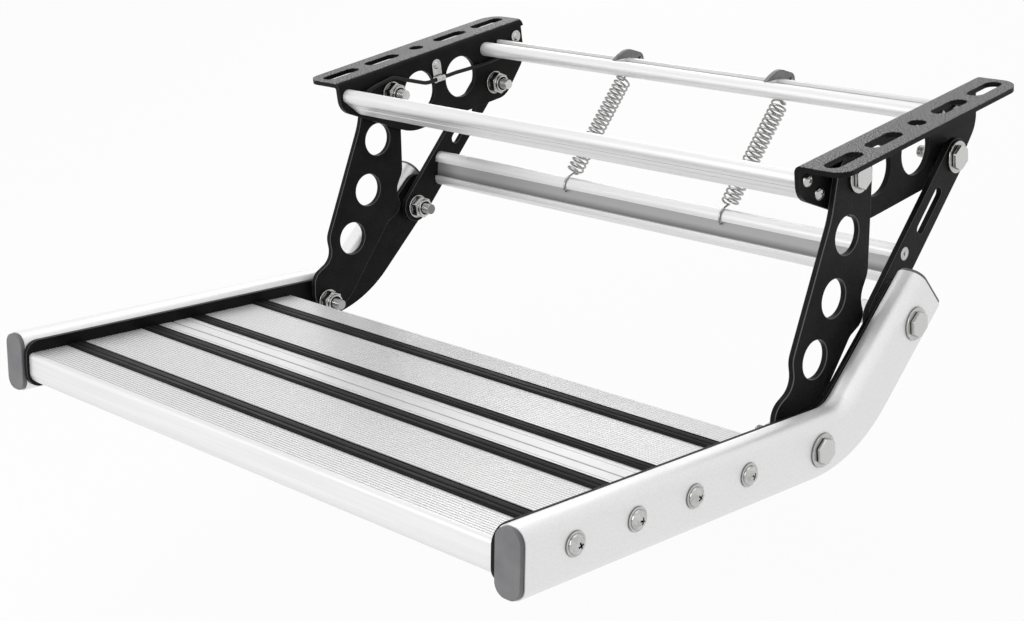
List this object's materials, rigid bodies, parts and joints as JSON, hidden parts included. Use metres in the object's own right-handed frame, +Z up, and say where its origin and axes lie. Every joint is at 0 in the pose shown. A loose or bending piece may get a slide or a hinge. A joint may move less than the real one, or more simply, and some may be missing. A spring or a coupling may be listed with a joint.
{
  "type": "caravan entry step",
  "caption": "Folding entry step for a caravan: a ribbed tread between bent box rails, carried by a four-bar linkage on two floor brackets.",
  "frame": {"origin": "midway between the two centre mounting holes, on the top face of the bracket flanges", "axes": "+X to the right seen from in front of the step, +Y away from the user and under the vehicle, +Z up"},
  "size_m": [0.4922, 0.4854, 0.1817],
  "materials": {
    "black_powder_coat": "satin",
    "satin_aluminium": "satin",
    "grey_cap_plastic": "matte",
    "grip_rubber": "matte",
    "zinc_plated_steel": "satin",
    "spring_steel": "polished",
    "cable_jacket": "matte"
  },
  "bodies": {
    "brackets": {"left_bracket": "black_powder_coat", "right_bracket": "black_powder_coat", "front_cross_bar": "satin_aluminium", "rear_cross_bar": "satin_aluminium", "front_bar_screws": "zinc_plated_steel", "rear_bar_screws": "zinc_plated_steel", "left_spring_hanger": "zinc_plated_steel", "right_spring_hanger": "zinc_plated_steel", "cable": "cable_jacket", "cable_clip": "zinc_plated_steel", "cable_lug": "zinc_plated_steel", "cable_clip_rivet": "zinc_plated_steel", "cable_lug_rivet": "zinc_plated_steel", "front_pivot_bolts": "zinc_plated_steel", "front_pivot_nuts": "zinc_plated_steel", "front_pivot_washers": "zinc_plated_steel", "front_pivot_spacers": "zinc_plated_steel", "rear_pivot_bolts": "zinc_plated_steel", "rear_pivot_nuts": "zinc_plated_steel", "rear_pivot_washers": "zinc_plated_steel", "rear_pivot_spacers": "zinc_plated_steel"},
    "springs": {"left_spring": "spring_steel", "right_spring": "spring_steel"},
    "front_arms": {"left_front_arm": "black_powder_coat", "right_front_arm": "black_powder_coat"},
    "rear_arms": {"left_rear_arm": "black_powder_coat", "right_rear_arm": "black_powder_coat", "lower_cross_bar": "satin_aluminium", "lower_bar_screws": "zinc_plated_steel", "link_pivot_studs": "zinc_plated_steel", "link_pivot_nuts": "zinc_plated_steel", "link_pivot_nut_washers": "zinc_plated_steel", "link_pivot_spacers": "zinc_plated_steel"},
    "step": {"left_rail": "satin_aluminium", "right_rail": "satin_aluminium", "left_rail_plate": "black_powder_coat", "right_rail_plate": "black_powder_coat", "left_front_end_cap": "grey_cap_plastic", "right_front_end_cap": "grey_cap_plastic", "left_rear_end_cap": "grey_cap_plastic", "right_rear_end_cap": "grey_cap_plastic", "front_tread_plank": "satin_aluminium", "rear_tread_plank": "satin_aluminium", "grip_strip_1": "grip_rubber", "grip_strip_2": "grip_rubber", "grip_strip_3": "grip_rubber", "grip_strip_4": "grip_rubber", "tread_screws": "zinc_plated_steel", "tread_screw_washers": "zinc_plated_steel", "tread_pivot_bolts": "zinc_plated_steel", "tread_pivot_nuts": "zinc_plated_steel", "tread_pivot_washers": "zinc_plated_steel", "tread_pivot_spacers": "zinc_plated_steel", "link_pivot_bolts": "zinc_plated_steel", "link_pivot_washers": "zinc_plated_steel"}
  },
  "joints": [
    {"name": "front_arm_hinge", "type": "hinge", "parent": "brackets", "child": "front_arms", "pos_m": [0, -0.0485, -0.0205], "axis": [1, 0, 0], "range_deg": [0, 80]},
    {"name": "rear_arm_hinge", "type": "hinge", "parent": "brackets", "child": "rear_arms", "pos_m": [0, 0.059, -0.0415], "axis": [1, 0, 0], "range_deg": [0, 122.4]},
    {"name": "tread_hinge", "type": "hinge", "parent": "front_arms", "child": "step", "pos_m": [0, -0.1335, -0.1607], "axis": [1, 0, 0], "range_deg": [-75.9, 0]},
    {"name": "spring_swing", "type": "hinge", "parent": "brackets", "child": "springs", "pos_m": [0, 0.0814, -0.0129], "axis": [1, 0, 0], "range_deg": [0, 90], "deforming": ["left_spring", "right_spring"]}
  ],
  "couplings": [
    {"joint": "rear_arm_hinge", "follows": "front_arm_hinge", "ratio": 1.5292},
    {"joint": "tread_hinge", "follows": "front_arm_hinge", "ratio": -0.9476},
    {"joint": "spring_swing", "follows": "front_arm_hinge", "ratio": 1.124}
  ]
}
